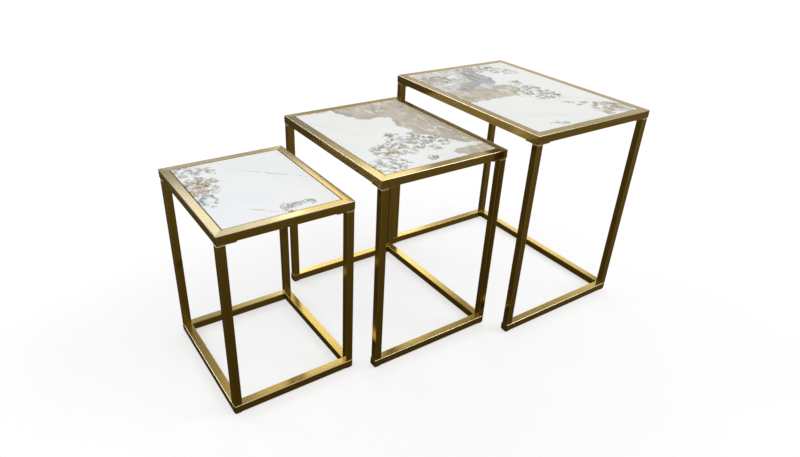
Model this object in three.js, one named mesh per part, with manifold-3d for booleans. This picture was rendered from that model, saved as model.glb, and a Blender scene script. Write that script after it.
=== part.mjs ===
// Nest of three side tables. Each one is a stone top set flush in a mitred frame of square
// steel tube, on four legs that stand on a base frame of the same tube.
//
// Millimetres, +Z up. The origin is on the floor, at the middle of the row's footprint.
// +X runs from the smallest table to the largest, which is the way each table slides home.
// Sides are named as a person standing on the -Y side sees them: front is -Y, left is -X.

import * as THREE from 'three';
import { mergeVertices } from 'three/addons/utils/BufferGeometryUtils.js';
import Module from 'manifold-3d';

const wasm = await Module();
wasm.setup();

// ---------- driving dimensions ----------

// width is along X, depth along Y. An open base has no rail on its left side, so that the
// next smaller table can slide in over the floor.
const TABLES = [
  { name: 'small', width: 300, depth: 350, height: 450, openBase: false },
  { name: 'medium', width: 350, depth: 450, height: 500, openBase: true },
  { name: 'large', width: 400, depth: 550, height: 550, openBase: true },
];
const GAP_BETWEEN = [41, 22]; // small to medium, medium to large, as the row stands pulled out
const SET_BACK = [0, 16, 0]; // how far each table stands behind the row's centre line

const RAIL = 20; // square tube of the top and base frames
const LEG = 18; // square tube of the legs, set in on all sides
const WALL = 1.2;
const EDGE_RADIUS = 2; // outer edges of the tubes
const ARC_STEPS = 2; // segments in each rounded tube edge
const MITRE_GAP = 0.3; // between the two faces of a mitre

const GLIDE = { size: 16, height: 3, radius: 3 };
const PLATE = { reach: 45, thickness: 3, setIn: 1, tip: 5, shoulder: 20 };
const SCREW = { fromCorner: 33, clearance: 5.5, tapped: 4.4 };
const CAP = { thickness: 1.5, plugLength: 8, plugGap: 0.3 };
const STONE = { thickness: 12, gap: 1, chamfer: 1 };
const LEDGE = { width: 12, thickness: 3, endGap: 1 };

const SIDES = ['front', 'right', 'back', 'left'];
const CORNERS = ['front_left', 'front_right', 'back_right', 'back_left'];

// ---------- materials ----------

function brushedGold() {
  return new THREE.MeshStandardMaterial({ color: 0xb08d45, roughness: 0.32, metalness: 1 });
}

function paleStone() {
  return new THREE.MeshStandardMaterial({ color: 0xeceeec, roughness: 0.25, metalness: 0 });
}

function blackPlastic() {
  return new THREE.MeshStandardMaterial({ color: 0x161514, roughness: 0.6, metalness: 0 });
}

// ---------- outlines ----------

// A square from (at, at) to (at + size, at + size) with round corners.
function roundedSquare(at, size, radius) {
  const low = at + radius;
  const high = at + size - radius;
  const outline = new THREE.Shape();
  outline.absarc(high, low, radius, -Math.PI / 2, 0);
  outline.absarc(high, high, radius, 0, Math.PI / 2);
  outline.absarc(low, high, radius, Math.PI / 2, Math.PI);
  outline.absarc(low, low, radius, Math.PI, 1.5 * Math.PI);
  outline.closePath();
  return outline;
}

function square(at, size) {
  const far = at + size;
  const corners = [[at, at], [far, at], [far, far], [at, far]];
  return new THREE.Path(corners.map(([x, y]) => new THREE.Vector2(x, y)));
}

function tubeSection(at, size) {
  const section = roundedSquare(at, size, EDGE_RADIUS);
  section.holes.push(square(at + WALL, size - 2 * WALL));
  return section;
}

// The plate on a leg's top: a square with both outer tips cut and its inner corner cut off.
function plateOutline() {
  const { setIn, reach, tip, shoulder } = PLATE;
  const half = [[reach - tip, setIn], [reach, setIn + tip], [reach, shoulder]];
  const mirrored = half.map(([x, y]) => [y, x]).reverse();
  const points = [[setIn, setIn], ...half, ...mirrored];
  return new THREE.Shape(points.map(([x, y]) => new THREE.Vector2(x, y)));
}

// ---------- solids ----------

function extrude(outline, height, base = 0) {
  const options = { depth: height, bevelEnabled: false, curveSegments: ARC_STEPS };
  return new THREE.ExtrudeGeometry(outline, options).translate(0, 0, base);
}

function toManifold(geometry) {
  const bare = new THREE.BufferGeometry();
  bare.setAttribute('position', geometry.getAttribute('position'));
  if (geometry.index) {
    bare.setIndex(geometry.index);
  }
  const merged = mergeVertices(bare, 1e-4);
  const vertProperties = new Float32Array(merged.getAttribute('position').array);
  const triVerts = new Uint32Array(merged.index.array);
  return new wasm.Manifold(new wasm.Mesh({ numProp: 3, vertProperties, triVerts }));
}

function toGeometry(manifold) {
  const mesh = manifold.getMesh();
  const geometry = new THREE.BufferGeometry();
  geometry.setAttribute('position', new THREE.BufferAttribute(mesh.vertProperties, 3));
  geometry.setIndex(new THREE.BufferAttribute(mesh.triVerts, 1));
  geometry.computeVertexNormals();
  return geometry;
}

// An upright drill at (x, y), from below z = low to above z = high.
function drill(x, y, diameter, low, high) {
  const overrun = 1;
  const height = high - low + 2 * overrun;
  const bit = new THREE.CylinderGeometry(diameter / 2, diameter / 2, height, 12);
  bit.rotateX(Math.PI / 2);
  bit.translate(x, y, (low + high) / 2);
  return toManifold(bit);
}

// A rail lies along +X with its outer face on y = 0 and its underside on z = 0. Each end is
// 'mitre', cut at 45 degrees and longest on the outer face, or 'cap', cut square to leave
// room for an end cap.
function rail(length, startEnd, finishEnd) {
  const geometry = extrude(tubeSection(0, RAIL), length);
  const position = geometry.getAttribute('position');
  const cut = (end, inward) => (end === 'mitre' ? inward + MITRE_GAP / Math.SQRT2 : CAP.thickness);
  for (let i = 0; i < position.count; i += 1) {
    const inward = position.getX(i);
    const up = position.getY(i);
    const atStart = position.getZ(i) < length / 2;
    const along = atStart ? cut(startEnd, inward) : length - cut(finishEnd, inward);
    position.setXYZ(i, along, inward, up);
  }
  return geometry;
}

// A top rail also has the tapped holes for the plate screws in its underside.
function topRail(length) {
  let solid = toManifold(rail(length, 'mitre', 'mitre'));
  for (const along of [SCREW.fromCorner, length - SCREW.fromCorner]) {
    solid = solid.subtract(drill(along, RAIL / 2, SCREW.tapped, 0, WALL));
  }
  return toGeometry(solid);
}

// A leg is a tube, open at its foot, with its screw plate welded across the top.
function leg(height) {
  const tube = extrude(tubeSection((RAIL - LEG) / 2, LEG), height - PLATE.thickness);
  const plate = extrude(plateOutline(), PLATE.thickness, height - PLATE.thickness);
  let solid = toManifold(tube).add(toManifold(plate));
  const holes = [[SCREW.fromCorner, RAIL / 2], [RAIL / 2, SCREW.fromCorner]];
  for (const [x, y] of holes) {
    solid = solid.subtract(drill(x, y, SCREW.clearance, height - PLATE.thickness, height));
  }
  return toGeometry(solid);
}

// An end cap closes a square-cut base rail: a face as wide as the tube, and a plug inside it.
// It lies along +X with its face on x = 0, like the rail that it closes.
function endCap() {
  const plugAt = WALL + CAP.plugGap;
  const face = extrude(roundedSquare(0, RAIL, EDGE_RADIUS), CAP.thickness);
  const plugShape = new THREE.Shape(square(plugAt, RAIL - 2 * plugAt).getPoints());
  const plug = extrude(plugShape, CAP.plugLength, CAP.thickness);
  const geometry = toGeometry(toManifold(face).add(toManifold(plug)));
  geometry.applyMatrix4(new THREE.Matrix4().set(0, 0, 1, 0, 1, 0, 0, 0, 0, 1, 0, 0, 0, 0, 0, 1));
  return geometry;
}

function stoneTop(width, depth) {
  const { thickness, gap, chamfer } = STONE;
  const x = width / 2 - RAIL - gap;
  const y = depth / 2 - RAIL - gap;
  const corners = [[-x, -y], [x, -y], [x, y], [-x, y]];
  const outline = new THREE.Shape(corners.map(([u, v]) => new THREE.Vector2(u, v)));
  const options = {
    depth: thickness - 2 * chamfer,
    bevelThickness: chamfer,
    bevelSize: chamfer,
    bevelOffset: -chamfer,
    bevelSegments: 1,
  };
  return new THREE.ExtrudeGeometry(outline, options).translate(0, 0, chamfer);
}

function ledge(depth) {
  const length = depth - 2 * (RAIL + LEDGE.endGap);
  const geometry = new THREE.BoxGeometry(LEDGE.width, length, LEDGE.thickness);
  return geometry.translate(0, 0, LEDGE.thickness / 2);
}

function glide() {
  const at = (RAIL - GLIDE.size) / 2;
  return extrude(roundedSquare(at, GLIDE.size, GLIDE.radius), GLIDE.height);
}

// ---------- assembly ----------

function addPiece(group, name, geometry, material, [x, y, z], turn = 0) {
  const piece = new THREE.Mesh(geometry, material);
  piece.name = name;
  piece.position.set(x, y, z);
  piece.rotation.z = turn;
  group.add(piece);
}

// The four corners of a table, anticlockwise from the front left. A piece turned with its
// corner has the side that starts there along its own +X, and the table's inside on its +Y.
function cornerPlaces(width, depth) {
  const x = width / 2;
  const y = depth / 2;
  const places = [[-x, -y], [x, -y], [x, y], [-x, y]];
  return places.map(([u, v], i) => ({ x: u, y: v, turn: (i * Math.PI) / 2 }));
}

function baseEnds(side, openBase) {
  if (!openBase) {
    return ['mitre', 'mitre'];
  }
  const ends = { front: ['cap', 'mitre'], right: ['mitre', 'mitre'], back: ['mitre', 'cap'] };
  return ends[side];
}

function buildTable({ name, width, depth, height, openBase }) {
  const table = new THREE.Group();
  const places = cornerPlaces(width, depth);
  const frameBottom = height - RAIL;
  const baseTop = GLIDE.height + RAIL;
  const stoneBottom = height - STONE.thickness;

  SIDES.forEach((side, i) => {
    const { x, y, turn } = places[i];
    const length = i % 2 === 0 ? width : depth;
    const topName = `${name}_top_rail_${side}`;
    addPiece(table, topName, topRail(length), brushedGold(), [x, y, frameBottom], turn);
    const ends = baseEnds(side, openBase);
    if (ends) {
      const baseName = `${name}_base_rail_${side}`;
      const geometry = rail(length, ...ends);
      addPiece(table, baseName, geometry, brushedGold(), [x, y, GLIDE.height], turn);
    }
  });

  CORNERS.forEach((corner, i) => {
    const { x, y, turn } = places[i];
    const legGeometry = leg(frameBottom - baseTop);
    addPiece(table, `${name}_leg_${corner}`, legGeometry, brushedGold(), [x, y, baseTop], turn);
    addPiece(table, `${name}_glide_${corner}`, glide(), blackPlastic(), [x, y, 0], turn);
  });

  if (openBase) {
    const left = -width / 2;
    const front = -depth / 2;
    const back = depth / 2 - RAIL;
    addPiece(table, `${name}_end_cap_front`, endCap(), brushedGold(), [left, front, GLIDE.height]);
    addPiece(table, `${name}_end_cap_back`, endCap(), brushedGold(), [left, back, GLIDE.height]);
  }

  const ledgeX = width / 2 - RAIL - LEDGE.width / 2;
  const ledgeZ = stoneBottom - LEDGE.thickness;
  addPiece(table, `${name}_ledge_left`, ledge(depth), brushedGold(), [-ledgeX, 0, ledgeZ]);
  addPiece(table, `${name}_ledge_right`, ledge(depth), brushedGold(), [ledgeX, 0, ledgeZ]);
  addPiece(table, `${name}_stone_top`, stoneTop(width, depth), paleStone(), [0, 0, stoneBottom]);
  return table;
}

const nest = new THREE.Group();
const tableWidths = TABLES.map((table) => table.width);
const rowLength = [...tableWidths, ...GAP_BETWEEN].reduce((sum, length) => sum + length, 0);
let leftEnd = -rowLength / 2;
TABLES.forEach((dimensions, i) => {
  const table = buildTable(dimensions);
  table.position.set(leftEnd + dimensions.width / 2, SET_BACK[i], 0);
  nest.add(table);
  leftEnd += dimensions.width + (GAP_BETWEEN[i] ?? 0);
});

export default nest;
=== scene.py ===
# A nest of three side tables: brushed gold steel frames round marble-look stone tops.
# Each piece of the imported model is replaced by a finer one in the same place. Metres, +Z up.

import math

import bmesh
import bpy
from mathutils import Matrix, Vector
from mathutils.geometry import tessellate_polygon


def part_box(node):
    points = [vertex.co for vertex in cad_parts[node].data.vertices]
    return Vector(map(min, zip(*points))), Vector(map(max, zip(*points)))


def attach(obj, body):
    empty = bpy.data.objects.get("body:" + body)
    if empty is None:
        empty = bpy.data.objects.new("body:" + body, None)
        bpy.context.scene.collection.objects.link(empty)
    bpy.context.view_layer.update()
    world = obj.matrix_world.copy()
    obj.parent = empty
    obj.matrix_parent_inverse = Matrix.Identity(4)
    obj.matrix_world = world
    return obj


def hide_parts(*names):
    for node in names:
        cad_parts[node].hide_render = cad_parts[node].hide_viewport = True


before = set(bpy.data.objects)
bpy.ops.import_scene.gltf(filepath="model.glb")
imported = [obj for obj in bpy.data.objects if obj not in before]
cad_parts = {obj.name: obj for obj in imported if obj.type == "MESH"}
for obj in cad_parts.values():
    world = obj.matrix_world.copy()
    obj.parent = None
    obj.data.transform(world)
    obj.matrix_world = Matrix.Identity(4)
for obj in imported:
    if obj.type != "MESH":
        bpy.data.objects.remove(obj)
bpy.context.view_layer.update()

MM = 0.001

TABLES = ["small", "medium", "large"]
SIDES = ["front", "right", "back", "left"]
CORNERS = ["front_left", "front_right", "back_right", "back_left"]

# ---------- driving dimensions ----------

WALL = 1.2 * MM  # steel tube
EDGE_RADIUS = 1.5 * MM  # along the tubes
RIM_BEVEL = 0.3 * MM  # on plates and ledges
ARC_STEPS = 6  # in each rounded tube edge
TOP_CORNER_RADIUS = 2 * MM  # ground on the upright corners of the top frames
BASE_CORNER_RADIUS = 5 * MM  # and of the base frames
MITRE_GAP = 0.05 * MM
LEG_EDGE_POLISH_AND_HIGHLIGHT = 0.35  # share of the rails' edge polish and painted highlight that the legs' edges have
SEAM_WIDTH = 7 * MM  # ground and polished beside each weld
WELD_TOP = 0.75 * MM  # radius of the bead under each leg's plate
WELD_FOOT = 0.4 * MM  # and of the one round its foot
BEAD_STEP = 1.2 * MM  # from ring to ring along a bead

PLATE_REACH = 44 * MM  # from the leg's outer faces to the plate's two ends
PLATE_THICKNESS = 3 * MM
PLATE_SET_IN = 0.8 * MM  # from the leg's outer faces
PLATE_TIP = 5 * MM  # cut off the outer corner of each end
PLATE_SHOULDER = 20 * MM  # from the rail's outer face to where the long slant begins
SCREW_FROM_CORNER = 33 * MM
SCREW_HOLE = 2.75 * MM  # radius
SCREW_HEAD = 4.6 * MM  # radius
SCREW_HEAD_HEIGHT = 2.6 * MM
SCREW_SOCKET = 1.6 * MM  # from its middle to each of its six flats

CAP_THICKNESS = 1.5 * MM
CAP_PLUG = 8 * MM  # depth in the tube
CAP_PLAY = 0.3 * MM  # round the plug
CAP_BEVEL = 0.35 * MM
GLIDE_RADIUS = 3 * MM  # of its upright corners
GLIDE_BEVEL = 0.7 * MM
STONE_CHAMFER = 0.8 * MM
STONE_SET_IN = 0.8 * MM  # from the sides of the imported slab


# ---------- shader graphs ----------


class Graph:
    """A material's node tree, with one Principled shader and short ways to add nodes."""

    def __init__(self, name):
        self.material = bpy.data.materials.new(name)
        self.material.use_nodes = True
        self.tree = self.material.node_tree
        self.shader = self.tree.nodes["Principled BSDF"]

    def add(self, kind, **settings):
        made = self.tree.nodes.new("ShaderNode" + kind)
        for key, value in settings.items():
            setattr(made, key, value)
        return made

    def put(self, socket, value):
        if isinstance(value, bpy.types.NodeSocket):
            self.tree.links.new(value, socket)
        else:
            socket.default_value = value

    def set(self, **inputs):
        for key, value in inputs.items():
            self.put(self.shader.inputs[key.replace("_", " ")], value)

    def maths(self, operation, a, b=0.0):
        made = self.add("Math", operation=operation)
        self.put(made.inputs[0], a)
        self.put(made.inputs[1], b)
        return made.outputs[0]

    def times(self, a, b):
        return self.maths("MULTIPLY", a, b)

    def larger(self, a, b):
        return self.maths("MAXIMUM", a, b)

    def rise(self, value, low, high, to_low=0.0, to_high=1.0):
        """Goes smoothly from to_low to to_high as value goes from low to high."""
        made = self.add("MapRange", interpolation_type="SMOOTHSTEP")
        for socket, number in zip(made.inputs, (value, low, high, to_low, to_high)):
            self.put(socket, number)
        return made.outputs[0]

    def vector(self, operation, a, b=(0, 0, 0)):
        made = self.add("VectorMath", operation=operation)
        self.put(made.inputs[0], a)
        self.put(made.inputs[1], b)
        return made.outputs["Value" if operation == "LENGTH" else "Vector"]

    def stretch(self, vector, scale, turn=0.0):
        made = self.add("Mapping")
        self.put(made.inputs["Vector"], vector)
        self.put(made.inputs["Scale"], scale)
        self.put(made.inputs["Rotation"], (0, 0, turn))
        return made.outputs[0]

    def noise(self, vector, scale, detail=2.0, roughness=0.5, distortion=0.0, colour=False):
        made = self.add("TexNoise")
        self.put(made.inputs["Vector"], vector)
        self.put(made.inputs["Scale"], scale)
        self.put(made.inputs["Detail"], detail)
        self.put(made.inputs["Roughness"], roughness)
        self.put(made.inputs["Distortion"], distortion)
        return made.outputs["Color" if colour else "Fac"]

    def mix(self, factor, a, b):
        made = self.add("Mix", data_type="RGBA")
        self.put(made.inputs["Factor"], factor)
        self.put(made.inputs[6], a)
        self.put(made.inputs[7], b)
        return made.outputs[2]

    def bump(self, height, distance):
        made = self.add("Bump")
        self.put(made.inputs["Height"], height)
        self.put(made.inputs["Distance"], distance)
        return made.outputs[0]

    def object_place(self):
        return self.add("TexCoord").outputs["Object"]


def rgb(red, green, blue):
    return (red, green, blue, 1.0)


# ---------- materials ----------

GOLD_DEEP = rgb(0.345, 0.243, 0.06)
GOLD_PALE = rgb(0.405, 0.289, 0.077)
EDGE_POLISH_AND_HIGHLIGHT = rgb(0.92, 0.83, 0.62)  # paled rounded edges: in part a real polish, in part a painted highlight that makes them shine as bright lines
CLOUDY_GOLD = rgb(0.33, 0.24, 0.1)  # handled areas
SEAM_GOLD = rgb(0.42, 0.31, 0.14)  # beside the welds


def brushed_gold():
    """Steel with a gold finish, brushed along each tube. Its grain map holds metres: across
    the tube, and along it."""
    g = Graph("brushed_gold")
    grain = g.add("UVMap", uv_map="grain").outputs[0]
    hairlines = g.noise(g.stretch(grain, (1500, 6, 1)), 1.0, 2)
    strokes = g.noise(g.stretch(grain, (330, 2.5, 1)), 1.0, 3, 0.6)
    smudges = g.noise(g.object_place(), 9.0, 3, 0.5)
    seam = g.add("Attribute", attribute_name="seam").outputs["Fac"]
    blotches = g.noise(g.object_place(), 170.0, 2)
    tone = g.maths("ADD", g.times(strokes, 0.4), g.times(hairlines, 0.6))
    colour = g.mix(g.rise(tone, 0.35, 0.65), GOLD_DEEP, GOLD_PALE)
    cloudy = g.rise(smudges, 0.35, 0.7)
    colour = g.mix(g.times(cloudy, 0.15), colour, CLOUDY_GOLD)
    colour = g.mix(g.times(g.times(seam, blotches), 0.25), colour, SEAM_GOLD)
    # painted highlight, in part a real polish: the rounded edges are mixed towards a pale gold so
    # they show as bright lines
    edge = g.add("Attribute", attribute_name="edge").outputs["Fac"]
    colour = g.mix(g.times(edge, 0.75), colour, EDGE_POLISH_AND_HIGHLIGHT)
    rough = g.maths("ADD", g.rise(tone, 0.3, 0.7, 0.14, 0.16), g.times(cloudy, 0.03))
    rough = g.maths("ADD", rough, g.times(seam, 0.04))
    tangent = g.add("Tangent", direction_type="UV_MAP", uv_map="grain").outputs[0]
    g.set(Base_Color=colour, Metallic=1.0, Roughness=rough, Anisotropic=0.7, Tangent=tangent)
    g.set(Normal=g.bump(tone, 0.000001))
    return g.material


def weld_metal():
    """The ground bead of a weld: paler and coarser than the brushed tube."""
    g = Graph("weld_metal")
    place = g.object_place()
    ripples = g.noise(place, 900.0, 2)
    colour = g.mix(ripples, rgb(0.84, 0.76, 0.6), rgb(0.95, 0.9, 0.78))
    g.set(Base_Color=colour, Metallic=1.0, Roughness=g.rise(ripples, 0.3, 0.7, 0.3, 0.42))
    g.set(Normal=g.bump(ripples, 0.0002))
    return g.material


def plain_steel(name, deep, pale, low, high):
    """Flat bar, plate and screws: a satin finish with fine scratches in no one direction."""
    g = Graph(name)
    place = g.object_place()
    scratches = g.noise(g.stretch(place, (900, 160, 900), 0.6), 1.0, 3, 0.6)
    dust = g.noise(place, 60.0, 4, 0.6)
    colour = g.mix(g.rise(dust, 0.35, 0.7), deep, pale)
    g.set(Base_Color=colour, Metallic=1.0, Roughness=g.rise(scratches, 0.3, 0.7, low, high))
    g.set(Normal=g.bump(scratches, 0.00003))
    return g.material


def glide_plastic():
    g = Graph("glide_plastic")
    place = g.object_place()
    grain = g.noise(place, 1500.0, 3)
    scuffs = g.noise(g.stretch(place, (300, 80, 300)), 1.0, 3)
    colour = g.mix(g.rise(scuffs, 0.5, 0.75), rgb(0.012, 0.011, 0.01), rgb(0.035, 0.033, 0.03))
    g.set(Base_Color=colour, Roughness=g.rise(scuffs, 0.3, 0.7, 0.5, 0.68))
    g.set(Normal=g.bump(grain, 0.00006))
    return g.material


def stone_back():
    """The unglazed sides and underside of a slab."""
    g = Graph("stone_back")
    place = g.object_place()
    speckle = g.noise(place, 700.0, 3, 0.6)
    clouds = g.noise(place, 18.0, 3)
    colour = g.mix(speckle, rgb(0.68, 0.665, 0.63), rgb(0.78, 0.77, 0.735))
    colour = g.mix(g.times(clouds, 0.3), colour, rgb(0.62, 0.58, 0.52))
    g.set(Base_Color=colour, Roughness=g.rise(clouds, 0.3, 0.7, 0.72, 0.85))
    g.set(Normal=g.bump(speckle, 0.0001))
    return g.material


# ---------- mesh helpers ----------

SMOOTH_ANGLE = 35.0  # degrees
FLAT_ANGLE = 0.01  # radians: faces this near to one plane become one face
SHARP_ANGLE = 0.6  # radians: an edge beyond this is bevelled


def placed(side_index, corner):
    """From a side's own frame, +X along it and +Y into the table, to the row's frame."""
    return Matrix.Translation(corner) @ Matrix.Rotation(side_index * math.pi / 2, 4, "Z")


def new_mesh():
    """A mesh with a grain map, and values at its vertices for polished seams and for edges that are
    polished and paled as a painted highlight.
    """
    bm = bmesh.new()
    values = bm.verts.layers.float
    values.new("seam")
    values.new("edge")
    return bm, bm.loops.layers.uv.new("grain"), values["seam"], values["edge"]


def section(at, size, radius, extra=None):
    """A rounded square from (at, at), anticlockwise: (across, up) points with their outward
    normals and distance round. extra adds a point at that distance in on the top and bottom."""
    low, high = at + radius, at + size - radius
    centres = [(high, low), (high, high), (low, high), (low, low)]
    points = []
    for quarter, (cy, cz) in enumerate(centres):
        for step in range(ARC_STEPS + 1):
            angle = (quarter - 1) * math.pi / 2 + step / ARC_STEPS * math.pi / 2
            out = Vector((math.cos(angle), math.sin(angle)))
            points.append((Vector((cy, cz)) + out * radius, out))
        if extra and quarter == 1:
            points.append((Vector((extra, at + size)), Vector((0, 1))))
        if extra and quarter == 3:
            points.append((Vector((extra, at)), Vector((0, -1))))
    round_it = [0.0]
    for (a, _), (b, _) in zip(points, points[1:] + points[:1]):
        round_it.append(round_it[-1] + (b - a).length)
    return points, round_it


def is_slanted(out):
    """Whether a section's normal is one of those inside its rounded edges."""
    return min(abs(out.x), abs(out.y)) > 0.01


def skin(bm, uv, rows, grain_rows, flip=False):
    """Closed strips of faces between rows of vertices. grain_rows has one more column."""
    count = len(rows[0])
    for low, high, low_uv, high_uv in zip(rows, rows[1:], grain_rows, grain_rows[1:]):
        for i in range(count):
            j = (i + 1) % count
            ring = [(low[i], low_uv[i]), (low[j], low_uv[i + 1])]
            ring += [(high[j], high_uv[i + 1]), (high[i], high_uv[i])]
            if flip:
                ring.reverse()
            face = bm.faces.new([vert for vert, _ in ring])
            for loop, (_, place) in zip(face.loops, ring):
                loop[uv].uv = place


def close_ends(bm, uv, skins):
    """Rings of faces from a tube's outer skin to its inner one, at both ends."""
    (outer, outer_grain), (inner, inner_grain) = skins
    for end, flip in ((0, True), (-1, False)):
        skin(bm, uv, [outer[end], inner[end]], [outer_grain[end], inner_grain[end]], flip)


def mitre_rows(y, corner_radius):
    """(along, in) for a line of the tube at y in from its outer face, from the mitre to where
    the tube runs straight."""
    gap = MITRE_GAP / 2 * math.sqrt(2)
    if y >= corner_radius:
        return [(y + gap, y)] * (ARC_STEPS + 1) + [(y + SEAM_WIDTH, y)]
    rows = []
    for step in range(ARC_STEPS + 1):
        turn = math.pi / 4 * (1 - step / ARC_STEPS)
        radius = corner_radius - y
        along = corner_radius - radius * math.sin(turn)
        rows.append((along + gap * (1 - step / ARC_STEPS), corner_radius - radius * math.cos(turn)))
    return rows + [(corner_radius + SEAM_WIDTH, y)]


def cap_rows(y):
    """The same for an end that's cut square and covered by a cap."""
    return [(CAP_THICKNESS, y)] * (ARC_STEPS + 1) + [(CAP_THICKNESS + SEAM_WIDTH, y)]


def rail_mesh(length, size, bottom, start, finish, corner_radius, offset):
    """A tube along +X with its outer face on y = 0 and its outer edges polished and paled as a
    painted highlight. Each end is 'mitre' or 'cap'."""
    bm, uv, seam, edge = new_mesh()
    points, round_it = section(0, size, EDGE_RADIUS, corner_radius + 0.01 * MM)
    skins = []
    for inset, flip in ((0.0, False), (WALL, True)):
        columns = []
        for place, out in points:
            y, z = place - out * inset
            ends = [mitre_rows(y, corner_radius) if end == "mitre" else cap_rows(y)
                    for end in (start, finish)]
            line = ends[0] + [(length - along, across) for along, across in reversed(ends[1])]
            columns.append([(along, across, z) for along, across in line])
        rows = []
        grain_rows = []
        last = len(columns[0]) - 1
        for r in range(last + 1):
            row = []
            for column, (_, out) in zip(columns, points):
                x, y, z = column[r]
                vert = bm.verts.new((x, y, z + bottom))
                beside_weld = r <= ARC_STEPS or r >= last - ARC_STEPS
                vert[seam] = 1.0 if beside_weld else 0.0
                # the outer rounded edges are paled: in part a real polish, in part a painted
                # highlight
                vert[edge] = 1.0 if is_slanted(out) and out.x < 0 else 0.0
                row.append(vert)
            rows.append(row)
            along = [column[r][0] for column in columns]
            along.append(along[0])
            grain = [(round_it[i] + offset[0], x + offset[1]) for i, x in enumerate(along)]
            grain_rows.append(grain)
        skin(bm, uv, rows, grain_rows, flip)
        skins.append((rows, grain_rows))
    close_ends(bm, uv, skins)
    bmesh.ops.remove_doubles(bm, verts=bm.verts, dist=0.002 * MM)
    return bm


def finish_piece(name, bm, transform, materials, body, stands_for=()):
    """Puts a mesh in its place, shaded smooth up to SMOOTH_ANGLE, and tells the frame of it."""
    bmesh.ops.recalc_face_normals(bm, faces=bm.faces)
    bm.transform(transform)
    for edge in bm.edges:
        if len(edge.link_faces) == 2:
            edge.smooth = edge.calc_face_angle() < math.radians(SMOOTH_ANGLE)
    for face in bm.faces:
        face.smooth = True
    mesh = bpy.data.meshes.new(name)
    bm.to_mesh(mesh)
    bm.free()
    for material in materials:
        mesh.materials.append(material)
    piece = bpy.data.objects.new(name, mesh)
    bpy.context.scene.collection.objects.link(piece)
    even = piece.modifiers.new("even_shading", "WEIGHTED_NORMAL")
    even.keep_sharp = True
    even.weight = 80
    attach(piece, body)
    if stands_for:
        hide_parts(*stands_for)


def prism(outline, low, high, holes=(), bevel=0.0, steps=2):
    """Upright solid on an outline, with holes through it and its sharp edges bevelled."""
    bm, uv, *_ = new_mesh()
    loops = [outline] + list(holes)
    flat = [Vector((x, y, 0)) for loop in loops for x, y in loop]
    levels = [[bm.verts.new((p.x, p.y, z)) for p in flat] for z in (low, high)]
    triangles = tessellate_polygon([[Vector((x, y, 0)) for x, y in loop] for loop in loops])
    for triangle in triangles:
        for level in levels:
            bm.faces.new([level[i] for i in triangle])
    start = 0
    for loop in loops:
        for i in range(len(loop)):
            a, b = start + i, start + (i + 1) % len(loop)
            bm.faces.new([levels[0][a], levels[0][b], levels[1][b], levels[1][a]])
        start += len(loop)
    bmesh.ops.recalc_face_normals(bm, faces=bm.faces)
    bmesh.ops.dissolve_limit(bm, angle_limit=FLAT_ANGLE, verts=bm.verts, edges=bm.edges)
    if bevel:
        sharp = [e for e in bm.edges if e.calc_face_angle(0) > SHARP_ANGLE]
        bmesh.ops.bevel(bm, geom=sharp, offset=bevel, segments=steps, profile=0.5, affect="EDGES")
    for face in bm.faces:
        for loop in face.loops:
            loop[uv].uv = (loop.vert.co.x, loop.vert.co.y)
    return bm


def circle(x, y, radius, steps=20):
    turns = [2 * math.pi * i / steps for i in range(steps)]
    return [(x + radius * math.cos(t), y + radius * math.sin(t)) for t in turns]


def join(bm, other, material=0):
    """Adds another mesh to bm, on that material, and frees it."""
    for face in other.faces:
        face.material_index = material
    extra = bpy.data.meshes.new("joined")
    other.to_mesh(extra)
    other.free()
    bm.from_mesh(extra)
    bpy.data.meshes.remove(extra)


def bead(at, size, height, radius, wave, seed):
    """A weld bead round a square tube: a ring of round section that swells and thins."""
    bm, *_ = new_mesh()
    points, _ = section(at, size, EDGE_RADIUS)
    path = []
    for (a, out_a), (b, out_b) in zip(points, points[1:] + points[:1]):
        pieces = max(1, round((b - a).length / BEAD_STEP))
        for k in range(pieces):
            t = k / pieces
            path.append((a.lerp(b, t), out_a.lerp(out_b, t).normalized()))
    steps = 8
    rings = []
    for i, (place, out) in enumerate(path):
        swell = 1 + wave * math.sin(i * 1.9 + seed) * math.cos(i * 0.7 + seed * 2)
        sink = wave * 0.5 * math.sin(i * 0.53 + seed)
        ring = []
        for k in range(steps):
            turn = 2 * math.pi * k / steps
            away = out * (radius * swell * math.cos(turn))
            up = radius * (swell * math.sin(turn) + sink)
            ring.append(bm.verts.new((place.x + away.x, place.y + away.y, height + up)))
        rings.append(ring)
    rings.append(rings[0])
    for low, high in zip(rings, rings[1:]):
        for k in range(steps):
            n = (k + 1) % steps
            bm.faces.new([low[k], low[n], high[n], high[k]])
    return bm


def plate_outline(inset):
    """The screw plate, as seen from above, with its outer corner at (inset, inset)."""
    reach = inset + PLATE_REACH - PLATE_SET_IN
    half = [(reach - PLATE_TIP, inset), (reach, inset + PLATE_TIP), (reach, PLATE_SHOULDER)]
    return [(inset, inset)] + half + [(y, x) for x, y in reversed(half)]


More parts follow.
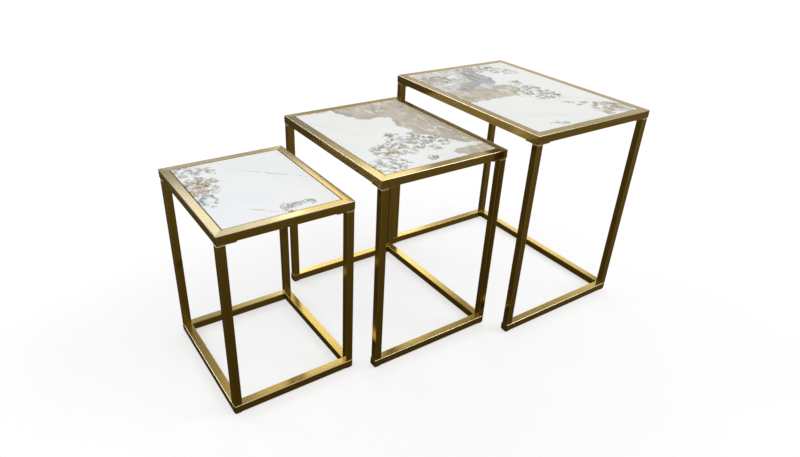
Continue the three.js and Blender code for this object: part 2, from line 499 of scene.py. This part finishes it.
def leg_mesh(inset, size, foot, top, rail_size, offset, seed):
    """A tube with a screw plate across its top and a weld bead at each end."""
    bm, uv, seam, edge = new_mesh()
    tube_top = top - PLATE_THICKNESS
    heights = [foot, foot + SEAM_WIDTH, tube_top - SEAM_WIDTH, tube_top]
    points, round_it = section(inset, size, EDGE_RADIUS)
    skins = []
    for depth, flip in ((0.0, False), (WALL, True)):
        rows = []
        for z in heights:
            row = []
            for place, out in points:
                at = place - out * depth
                vert = bm.verts.new((at.x, at.y, z))
                vert[seam] = 1.0 if z in (heights[0], heights[-1]) else 0.0
                # the legs' rounded edges get part of the pale polish and painted highlight
                vert[edge] = LEG_EDGE_POLISH_AND_HIGHLIGHT if is_slanted(out) else 0.0
                row.append(vert)
            rows.append(row)
        grain_rows = [[(u + offset[0], z + offset[1]) for u in round_it] for z in heights]
        skin(bm, uv, rows, grain_rows, flip)
        skins.append((rows, grain_rows))
    close_ends(bm, uv, skins)
    holes = [circle(SCREW_FROM_CORNER, rail_size / 2, SCREW_HOLE)]
    holes.append(circle(rail_size / 2, SCREW_FROM_CORNER, SCREW_HOLE))
    plate = prism(plate_outline(inset + PLATE_SET_IN), tube_top, top, holes, RIM_BEVEL)
    join(bm, plate, 1)
    join(bm, bead(inset, size, tube_top - 0.1 * MM, WELD_TOP, 0.22, seed), 2)
    join(bm, bead(inset, size, foot, WELD_FOOT, 0.1, seed + 1), 0)
    return bm


def rounded_outline(at, size, radius, steps=5):
    """A square with rounded corners, its low corner at (at, at)."""
    outline = []
    low, high = at + radius, at + size - radius
    for quarter, (cx, cy) in enumerate([(high, low), (high, high), (low, high), (low, low)]):
        for step in range(steps + 1):
            turn = (quarter - 1 + step / steps) * math.pi / 2
            outline.append((cx + radius * math.cos(turn), cy + radius * math.sin(turn)))
    return outline


def screw_mesh():
    """A pan head with a hexagon socket, head down from z = 0."""
    bm, *_ = new_mesh()
    steps = 24
    profile = [(SCREW_HEAD, 0.0), (SCREW_HEAD, 0.25), (SCREW_HEAD * 0.96, 0.5)]
    profile += [(SCREW_HEAD * 0.84, 0.8), (SCREW_HEAD * 0.66, 0.96), (SCREW_HEAD * 0.5, 1.0)]
    rows = []
    for radius, down in profile:
        ring = circle(0, 0, radius, steps)
        rows.append([bm.verts.new((x, y, -down * SCREW_HEAD_HEIGHT)) for x, y in ring])
    for down in (1.0, 0.4):
        ring = []
        for i in range(steps):
            turn = 2 * math.pi * i / steps
            to_flat = (turn + math.pi / 6) % (math.pi / 3) - math.pi / 6
            radius = SCREW_SOCKET / math.cos(to_flat)
            place = (radius * math.cos(turn), radius * math.sin(turn), -down * SCREW_HEAD_HEIGHT)
            ring.append(bm.verts.new(place))
        rows.append(ring)
    for low, high in zip(rows, rows[1:]):
        for i in range(steps):
            j = (i + 1) % steps
            bm.faces.new([low[i], low[j], high[j], high[i]])
    bm.faces.new(rows[0])
    bm.faces.new(rows[-1])
    return bm


# ---------- the stones' patterns ----------

WHITE = rgb(0.88, 0.89, 0.855)
COOL_WHITE = rgb(0.84, 0.857, 0.83)
INKS = {
    "grey": (rgb(0.15, 0.15, 0.13), rgb(0.55, 0.55, 0.5)),
    "brown": (rgb(0.26, 0.18, 0.09), rgb(0.67, 0.57, 0.42)),
    "olive": (rgb(0.24, 0.205, 0.115), rgb(0.7, 0.65, 0.49)),
}
WASHES = {
    "mist": (rgb(0.47, 0.445, 0.385), rgb(0.74, 0.73, 0.685)),
    "taupe": (rgb(0.4, 0.345, 0.25), rgb(0.63, 0.58, 0.475)),
    "tan": (rgb(0.54, 0.425, 0.26), rgb(0.79, 0.73, 0.61)),
    "sand": (rgb(0.66, 0.6, 0.42), rgb(0.82, 0.8, 0.7)),
    "slate": (rgb(0.27, 0.27, 0.25), rgb(0.5, 0.5, 0.465)),
    "blue": (rgb(0.24, 0.29, 0.355), rgb(0.42, 0.46, 0.49)),
    "bare": (WHITE, COOL_WHITE),
}
FLECKED = ["mist", "taupe", "tan"]
FLECK = rgb(0.8, 0.79, 0.75)
CRACK = rgb(0.26, 0.24, 0.2)
VEIN = rgb(0.3, 0.27, 0.2)
VEIN_HALF_WIDTH = 1.6 * MM
VEIN_FADE = 20 * MM  # at each of its ends
# A wash or a scribble fills an oval: (colour, across, up, half length, half width, turn).
# Across and up are shares of the slab from its front left corner, the halves are in mm and
# the turn in degrees. A vein runs from one place to another: (across, up, across, up, depth).
STONES = {
    "small": {
        "washes": [
            ("sand", 0.1, 0.69, 34, 16, 0),
            ("tan", 0.05, 0.57, 28, 24, 0),
        ],
        "scribbles": [
            ("brown", 0.1, 0.6, 44, 40, 20),
            ("olive", 0.12, 0.7, 44, 26, 0),
            ("olive", 0.1, 0.9, 40, 34, 0),
            ("olive", 0.27, 0.86, 17, 28, 0),
            ("grey", 0.07, 0.42, 22, 34, 0),
            ("brown", 0.59, 0.065, 20, 20, 0),
            ("grey", 0.74, 0.075, 26, 12, 0),
        ],
        "veins": [(0.44, 0.82, 1.0, 0.41, 0.8), (0.27, 0.19, 0.54, 0.0, 0.95)],
    },
    "medium": {
        "washes": [
            ("taupe", 0.72, 0.93, 116, 92, 0),
            ("taupe", 0.88, 0.545, 74, 128, 0),
            ("taupe", 0.67, 0.4, 34, 13, -25),
            ("taupe", 0.94, 0.225, 34, 34, 0),
            ("taupe", 0.88, 0.055, 58, 28, 0),
            ("taupe", 0.2, 1.0, 34, 7, 0),
            ("slate", 0.39, 0.9, 12, 46, 18),
            ("slate", 0.46, 0.452, 11, 10, 0),
        ],
        "scribbles": [
            ("grey", 0.46, 0.447, 20, 20, 0),
            ("brown", 0.22, 0.275, 34, 36, 0),
            ("grey", 0.34, 0.36, 38, 20, 30),
            ("olive", 0.38, 0.245, 64, 40, 0),
            ("brown", 0.36, 0.27, 36, 26, 0),
            ("grey", 0.58, 0.305, 56, 46, 0),
            ("olive", 0.72, 0.26, 32, 36, 0),
            ("grey", 0.13, 0.09, 52, 46, 0),
            ("grey", 0.49, 0.07, 16, 9, 30),
            ("grey", 0.62, 0.17, 26, 9, 0),
        ],
        "veins": [(0.02, 0.88, 0.26, 0.47, 0.45)],
    },
    "large": {
        "washes": [
            ("mist", 0.22, 0.8, 116, 128, 0),
            ("mist", 0.42, 0.95, 76, 44, 0),
            ("mist", 0.1, 0.6, 100, 76, 0),
            ("taupe", 0.1, 0.55, 76, 56, 0),
            ("taupe", 0.33, 0.54, 66, 40, -14),
            ("taupe", 0.48, 0.56, 42, 40, 0),
            ("bare", 0.3, 0.87, 26, 13, 25),
            ("bare", 0.14, 0.76, 26, 9, 30),
            ("slate", 0.26, 0.69, 62, 22, 28),
            ("slate", 0.48, 0.79, 36, 52, 0),
            ("blue", 0.43, 0.73, 34, 13, 20),
            ("mist", 0.92, 0.06, 44, 34, 0),
            ("taupe", 0.74, 0.04, 12, 24, 0),
        ],
        "scribbles": [
            ("olive", 0.12, 0.86, 54, 48, 0),
            ("grey", 0.56, 0.92, 54, 40, 0),
            ("grey", 0.7, 0.95, 50, 30, 0),
            ("olive", 0.76, 0.88, 34, 44, 30),
            ("olive", 0.83, 0.83, 30, 36, 30),
            ("grey", 0.66, 0.62, 22, 24, 0),
            ("grey", 0.66, 0.5, 34, 34, 0),
            ("olive", 0.53, 0.46, 36, 36, 0),
            ("grey", 0.65, 0.39, 52, 42, 0),
            ("grey", 0.76, 0.2, 66, 16, -28),
            ("brown", 0.84, 0.1, 58, 40, 0),
            ("grey", 0.25, 0.05, 30, 11, 0),
        ],
        "veins": [
            (0.03, 0.24, 0.57, 0.06, 0.4),
            (0.38, 0.36, 0.5, 0.28, 0.4),
            (0.68, 0.33, 0.92, 0.22, 0.45),
        ],
    },
}


def oval(g, plan, size, across, up, half_length, half_width, turn):
    """1 at an oval's middle, 0 on its edge and less outside."""
    made = g.add("Mapping", vector_type="TEXTURE")
    g.put(made.inputs["Vector"], plan)
    g.put(made.inputs["Location"], (across * size.x, up * size.y, 0))
    g.put(made.inputs["Rotation"], (0, 0, math.radians(turn)))
    g.put(made.inputs["Scale"], (half_length * MM, half_width * MM, 1))
    return g.maths("SUBTRACT", 1.0, g.vector("LENGTH", made.outputs[0]))


def ovals(g, plan, size, entries):
    """The same for several ovals: each place has the level of the one it is deepest in."""
    level = None
    for entry in entries:
        value = oval(g, plan, size, *entry)
        level = value if level is None else g.larger(level, value)
    return level


def contour(g, pattern, level, width):
    """1 along the line where a pattern crosses a level, and 0 away from it."""
    return g.rise(g.maths("ABSOLUTE", g.maths("SUBTRACT", pattern, level)), width, width * 0.3)


def vein(g, plan, size, start_across, start_up, end_across, end_up):
    """1 along a thin straight line that fades at its ends, and 0 away from it."""
    start = Vector((start_across * size.x, start_up * size.y, 0))
    along = Vector((end_across * size.x, end_up * size.y, 0)) - start
    made = g.add("Mapping", vector_type="TEXTURE")
    g.put(made.inputs["Vector"], plan)
    g.put(made.inputs["Location"], start)
    g.put(made.inputs["Rotation"], (0, 0, math.atan2(along.y, along.x)))
    split = g.add("SeparateXYZ")
    g.put(split.inputs[0], made.outputs[0])
    aside = g.maths("ABSOLUTE", split.outputs["Y"])
    line = g.rise(aside, VEIN_HALF_WIDTH, VEIN_HALF_WIDTH / 4)
    begun = g.rise(split.outputs["X"], 0.0, VEIN_FADE)
    left = g.rise(split.outputs["X"], along.length, along.length - VEIN_FADE)
    return g.times(line, g.times(begun, left))


def stone_face(name, low, high, recipe):
    """Polished white porcelain with washes of colour, inky scribbles and thin veins."""
    g = Graph(name)
    place = g.object_place()
    size = high - low
    plan = g.vector("SUBTRACT", place, (low.x, low.y, 0))
    flat = g.vector("MULTIPLY", plan, (1, 1, 0))
    sway = g.noise(flat, 24.0, 5, 0.6, colour=True)
    sway = g.vector("SUBTRACT", sway, (0.5, 0.5, 0.5))
    torn = g.vector("ADD", flat, g.vector("MULTIPLY", sway, (0.06, 0.07, 0)))
    wavy = g.vector("ADD", flat, g.vector("MULTIPLY", sway, (0.022, 0.022, 0)))

    clouds = g.noise(flat, 9.0, 3)
    streaks = g.noise(g.stretch(torn, (52, 17, 1), -0.3), 1.0, 4, 0.6)
    flecks = g.noise(g.stretch(wavy, (78, 30, 1), -0.45), 1.0, 3, 0.55, 0.6)
    fine = g.noise(flat, 120.0, 4, 0.65)
    colour = g.mix(g.rise(clouds, 0.3, 0.7), WHITE, COOL_WHITE)

    mottle = g.maths("ADD", g.times(streaks, 0.8), g.times(fine, 0.2))
    calm = g.rise(g.noise(torn, 15.0, 2), 0.44, 0.58)
    for tint, (dark, pale) in WASHES.items():
        entries = [entry[1:] for entry in recipe["washes"] if entry[0] == tint]
        if not entries:
            continue
        level = ovals(g, torn, size, entries)
        inside = g.rise(level, 0.0, 0.06)
        wash = g.mix(g.rise(mottle, 0.36, 0.62), dark, pale)
        wash = g.mix(g.times(g.rise(level, 0.16, 0.0), 0.45), wash, dark)
        if tint in FLECKED:
            plain = g.mix(0.45, dark, pale)
            wash = g.mix(g.times(calm, 0.55), wash, plain)
            inner = g.times(g.rise(level, 0.02, 0.45), g.rise(calm, 1.0, 0.0, 0.25, 1.0))
            fleck = g.times(g.rise(flecks, 0.53, 0.6), inner)
            wash = g.mix(g.times(fleck, 0.75), wash, FLECK)
            crack = g.times(contour(g, flecks, 0.45, 0.02), inner)
            wash = g.mix(g.times(crack, 0.55), wash, CRACK)
        colour = g.mix(g.times(inside, 0.95), colour, wash)

    curls = g.noise(g.stretch(wavy, (64, 48, 1), 0.2), 1.0, 1.5, 0.5, 1.6)
    swirls = g.noise(wavy, 105.0, 1, 0.5, 1.2)
    strokes = g.larger(contour(g, curls, 0.5, 0.062), contour(g, curls, 0.62, 0.04))
    strokes = g.larger(strokes, g.times(contour(g, swirls, 0.5, 0.055), 0.85))
    broken = g.rise(g.noise(flat, 60.0, 2), 0.4, 0.51)
    strokes = g.times(strokes, broken)
    blots = g.rise(g.noise(wavy, 60.0, 3, 0.6), 0.52, 0.64)
    for ink, (dark, pale) in INKS.items():
        entries = [entry[1:] for entry in recipe["scribbles"] if entry[0] == ink]
        if not entries:
            continue
        inside = g.rise(ovals(g, torn, size, entries), -0.05, 0.25)
        colour = g.mix(g.times(g.times(inside, blots), 0.72), colour, pale)
        colour = g.mix(g.times(g.times(inside, strokes), 0.88), colour, dark)

    faded = g.rise(g.noise(flat, 60.0, 2), 0.35, 0.6)
    for *ends, depth in recipe["veins"]:
        line = g.times(vein(g, wavy, size, *ends), faded)
        colour = g.mix(g.times(line, depth), colour, VEIN)

    g.set(Base_Color=colour, Roughness=g.rise(fine, 0.3, 0.7, 0.2, 0.27))
    g.set(IOR=1.25, Specular_IOR_Level=0.2)
    return g.material


# ---------- assembly ----------

gold = brushed_gold()
plate_steel = plain_steel("plate_steel", rgb(0.3, 0.2, 0.07), rgb(0.45, 0.31, 0.12), 0.35, 0.5)
ledge_steel = plain_steel("ledge_steel", rgb(0.42, 0.41, 0.39), rgb(0.56, 0.55, 0.52), 0.3, 0.45)
screw_steel = plain_steel("screw_steel", rgb(0.5, 0.49, 0.47), rgb(0.66, 0.65, 0.62), 0.2, 0.34)
weld = weld_metal()
plastic = glide_plastic()
unglazed = stone_back()


def grain_offset(number):
    """A different stretch of the brushed pattern for each tube."""
    return (number * 0.137, number * 0.731)


def build_table(table, number):
    """Makes one table's pieces. number counts the tubes, and the next one is returned."""
    body = f"{table}_table"
    nodes = {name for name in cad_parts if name.startswith(table + "_")}
    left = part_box(f"{table}_top_rail_left")[0].x
    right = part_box(f"{table}_top_rail_right")[1].x
    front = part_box(f"{table}_top_rail_front")[0].y
    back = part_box(f"{table}_top_rail_back")[1].y
    corners = [(left, front, 0), (right, front, 0), (right, back, 0), (left, back, 0)]
    top_low, top_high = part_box(f"{table}_top_rail_front")
    rail_size = top_high.z - top_low.z
    base_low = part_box(f"{table}_base_rail_front")[0]
    leg_low, leg_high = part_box(f"{table}_leg_front_left")
    inset = leg_low.x - left

    for i, side in enumerate(SIDES):
        length = right - left if i % 2 == 0 else back - front
        where = placed(i, corners[i])
        node = f"{table}_top_rail_{side}"
        bm = rail_mesh(length, rail_size, top_low.z, "mitre", "mitre", TOP_CORNER_RADIUS,
                       grain_offset(number))
        finish_piece(node + "_tube", bm, where, [gold], body, [node])
        number += 1
        node = f"{table}_base_rail_{side}"
        if node in nodes:
            ends = ["mitre", "mitre"]
            if f"{table}_base_rail_left" not in nodes:
                ends = {0: ["cap", "mitre"], 2: ["mitre", "cap"]}.get(i, ends)
            bm = rail_mesh(length, rail_size, base_low.z, *ends, BASE_CORNER_RADIUS,
                           grain_offset(number))
            finish_piece(node + "_tube", bm, where, [gold], body, [node])
            number += 1

    for i, corner in enumerate(CORNERS):
        where = placed(i, corners[i])
        node = f"{table}_leg_{corner}"
        bm = leg_mesh(inset, rail_size - 2 * inset, leg_low.z, leg_high.z, rail_size,
                      grain_offset(number), number)
        finish_piece(node + "_tube", bm, where, [gold, plate_steel, weld], body,
                     [node])
        number += 1
        under_plate = leg_high.z - PLATE_THICKNESS
        screws = [(SCREW_FROM_CORNER, rail_size / 2), (rail_size / 2, SCREW_FROM_CORNER)]
        for k, (x, y) in enumerate(screws):
            spin = Matrix.Rotation(number * 0.7 + k, 4, "Z")
            there = where @ Matrix.Translation((x, y, under_plate)) @ spin
            finish_piece(f"{table}_screw_{corner}_{k + 1}", screw_mesh(), there, [screw_steel],
                         body)
        node = f"{table}_glide_{corner}"
        low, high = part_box(node)
        size = high.x - low.x
        outline = rounded_outline((rail_size - size) / 2, size, GLIDE_RADIUS)
        bm = prism(outline, 0.0, high.z, bevel=GLIDE_BEVEL, steps=3)
        finish_piece(node + "_pad", bm, where, [plastic], body, [node])

    for side in ("front", "back"):
        node = f"{table}_end_cap_{side}"
        if node not in nodes:
            continue
        low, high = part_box(node)
        cover = rounded_outline(0, rail_size, EDGE_RADIUS)
        bm = prism(cover, 0.0, CAP_THICKNESS, bevel=CAP_BEVEL)
        plug_at = WALL + CAP_PLAY
        plug = prism(rounded_outline(plug_at, rail_size - 2 * plug_at, 1 * MM), CAP_THICKNESS,
                     CAP_THICKNESS + CAP_PLUG)
        join(bm, plug)
        lay_down = Matrix(((0, 0, 1, low.x), (1, 0, 0, low.y), (0, 1, 0, low.z), (0, 0, 0, 1)))
        finish_piece(node + "_cover", bm, lay_down, [gold], body, [node])

    for side in ("left", "right"):
        node = f"{table}_ledge_{side}"
        low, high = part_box(node)
        outline = [(low.x, low.y), (high.x, low.y), (high.x, high.y), (low.x, high.y)]
        bm = prism(outline, low.z, high.z, bevel=RIM_BEVEL)
        finish_piece(node + "_bar", bm, Matrix(), [ledge_steel], body, [node])

    node = f"{table}_stone_top"
    low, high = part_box(node)
    x0, x1 = low.x + STONE_SET_IN, high.x - STONE_SET_IN
    y0, y1 = low.y + STONE_SET_IN, high.y - STONE_SET_IN
    outline = [(x0, y0), (x1, y0), (x1, y1), (x0, y1)]
    bm = prism(outline, low.z, high.z, bevel=STONE_CHAMFER, steps=3)
    middle = (low.z + high.z) / 2
    for face in bm.faces:
        face.material_index = 0 if face.calc_center_median().z > middle else 1
    slab = stone_face(f"{table}_stone_face", low, high, STONES[table])
    finish_piece(node + "_slab", bm, Matrix(), [slab, unglazed], body, [node])
    return number


number = 1
for table in TABLES:
    number = build_table(table, number)

# ---------- studio ----------

FLOOR_HALF = 40.0
FLOOR_SHADES = (rgb(0.44, 0.44, 0.44), rgb(0.46, 0.46, 0.46))
FLOOR_GLOW = 0.58  # lifts it to a plain pale ground with soft shadows
floor_mesh = bpy.data.meshes.new("floor")
square = [(-1, -1), (1, -1), (1, 1), (-1, 1)]
corners = [(x * FLOOR_HALF, y * FLOOR_HALF, 0) for x, y in square]
floor_mesh.from_pydata(corners, [], [(0, 1, 2, 3)])
floor = bpy.data.objects.new("floor", floor_mesh)
bpy.context.scene.collection.objects.link(floor)
paper = Graph("floor_paper")
fibre = paper.noise(paper.object_place(), 40.0, 3)
paper.set(Base_Color=paper.mix(fibre, *FLOOR_SHADES), Roughness=0.9, Specular_IOR_Level=0.0)
paper.set(Emission_Color=rgb(1, 1, 1), Emission_Strength=FLOOR_GLOW)
floor_mesh.materials.append(paper.material)
floor.visible_glossy = False

# The studio's walls and ceiling, as colour by elevation: pale at the horizon, and dark
# where the metal would otherwise show the lit floor.
SKY_SHADES = [
    (-90, rgb(0.085, 0.06, 0.022)),
    (-38, rgb(0.105, 0.08, 0.032)),
    (-18, rgb(0.22, 0.18, 0.098)),
    (-4, rgb(0.24, 0.22, 0.16)),
    (0, rgb(0.8, 0.8, 0.8)),
    (5, rgb(0.7, 0.7, 0.7)),
    (13, rgb(0.5, 0.5, 0.5)),
    (24, rgb(0.52, 0.52, 0.52)),
    (38, rgb(0.56, 0.56, 0.56)),
    (52, rgb(1.0, 1.0, 1.0)),
]
LIT_FROM = (0.59, -0.81, 0.0)  # the side of the room that is a little brighter
EVEN_LIGHT = 0.9
SIDE_LIGHT = 0.28  # added on that side, and taken off on the other
world = bpy.data.worlds.new("studio")
bpy.context.scene.world = world
world.use_nodes = True
sky = world.node_tree
direction = sky.nodes.new("ShaderNodeTexCoord")
split = sky.nodes.new("ShaderNodeSeparateXYZ")
height = sky.nodes.new("ShaderNodeMapRange")
height.inputs["From Min"].default_value = -1
ramp = sky.nodes.new("ShaderNodeValToRGB")
while len(ramp.color_ramp.elements) < len(SKY_SHADES):
    ramp.color_ramp.elements.new(0.5)
for element, (elevation, colour) in zip(ramp.color_ramp.elements, SKY_SHADES):
    element.position = (math.sin(math.radians(elevation)) + 1) / 2
    element.color = colour
sky.links.new(direction.outputs["Generated"], split.inputs[0])
sky.links.new(split.outputs["Z"], height.inputs["Value"])
sky.links.new(height.outputs[0], ramp.inputs[0])
sky.links.new(ramp.outputs[0], sky.nodes["Background"].inputs["Color"])
towards = sky.nodes.new("ShaderNodeVectorMath")
towards.operation = "DOT_PRODUCT"
towards.inputs[1].default_value = LIT_FROM
strength = sky.nodes.new("ShaderNodeMath")
strength.operation = "MULTIPLY_ADD"
strength.inputs[1].default_value = SIDE_LIGHT
strength.inputs[2].default_value = EVEN_LIGHT
sky.links.new(direction.outputs["Generated"], towards.inputs[0])
sky.links.new(towards.outputs["Value"], strength.inputs[0])
sky.links.new(strength.outputs[0], sky.nodes["Background"].inputs["Strength"])

PANEL_DISTANCE = 25.0  # from the tables


def panel(name, azimuth, elevation, wide, tall, radiance, tint=(1, 1, 1)):
    """A soft light that faces the tables, seen from them at that direction and with that
    angular size, in degrees. Azimuth 0 is +Y and 90 is +X."""
    light = bpy.data.lights.new(name, "AREA")
    light.shape = "RECTANGLE"
    light.size = 2 * PANEL_DISTANCE * math.tan(math.radians(wide / 2))
    light.size_y = 2 * PANEL_DISTANCE * math.tan(math.radians(tall / 2))
    light.energy = radiance * math.pi * light.size * light.size_y
    light.color = tint
    lamp = bpy.data.objects.new(name, light)
    a, e = math.radians(azimuth), math.radians(elevation)
    away = Vector((math.sin(a) * math.cos(e), math.cos(a) * math.cos(e), math.sin(e)))
    lamp.location = away * PANEL_DISTANCE
    lamp.rotation_euler = away.to_track_quat("Z", "Y").to_euler()
    lamp.visible_camera = False
    bpy.context.scene.collection.objects.link(lamp)


DAYLIGHT = (0.47, 0.56, 1.0)  # cool, so that its reflection in the gold is cream
panel("window", 16.8, 29.6, 15.5, 7.5, 4.9, DAYLIGHT)
panel("back_panel", 31.2, 32, 13.5, 14.2, 2.5)
panel("top_panel", 25, 42.5, 10, 7, 1.7)
panel("right_panel", 40.7, 31.5, 5.5, 7, 2.0)
panel("corner_panel", 36, 24.2, 6, 3.5, 1.5)
panel("high_panel", 51.7, 28, 12.5, 7, 2.4)
panel("low_panel", 48.5, 15.7, 23, 7.5, 0.6)
panel("rear_panel", 215, 26, 44, 16, 1.2)
panel("left_softbox", -27, 39, 26, 12, 4)
panel("right_softbox", 122, 45, 24, 16, 4)

# ---------- camera ----------

SENSOR = 36.0
FOCAL_LENGTH = 27.65
CAMERA_PLACE = (-0.8577, -1.1406, 1.0223)
CAMERA_HEADING = 35.68  # degrees from +Y towards +X
CAMERA_DOWN = 29.93
CAMERA_ROLL = 2.80
CAMERA_SHIFT = (0.0123, 0.0101)
camera_data = bpy.data.cameras.new("camera")
camera_data.sensor_width = SENSOR
camera_data.lens = FOCAL_LENGTH
camera_data.shift_x, camera_data.shift_y = CAMERA_SHIFT
camera_data.clip_start = 0.05
camera_data.clip_end = 200
camera = bpy.data.objects.new("camera", camera_data)
camera.location = CAMERA_PLACE
turn = Matrix.Rotation(math.radians(-CAMERA_HEADING), 4, "Z")
tip = Matrix.Rotation(math.radians(90 - CAMERA_DOWN), 4, "X")
roll = Matrix.Rotation(math.radians(CAMERA_ROLL), 4, "Z")
camera.rotation_euler = (turn @ tip @ roll).to_euler()
bpy.context.scene.collection.objects.link(camera)
bpy.context.scene.camera = camera
bpy.context.scene.view_settings.view_transform = "Standard"
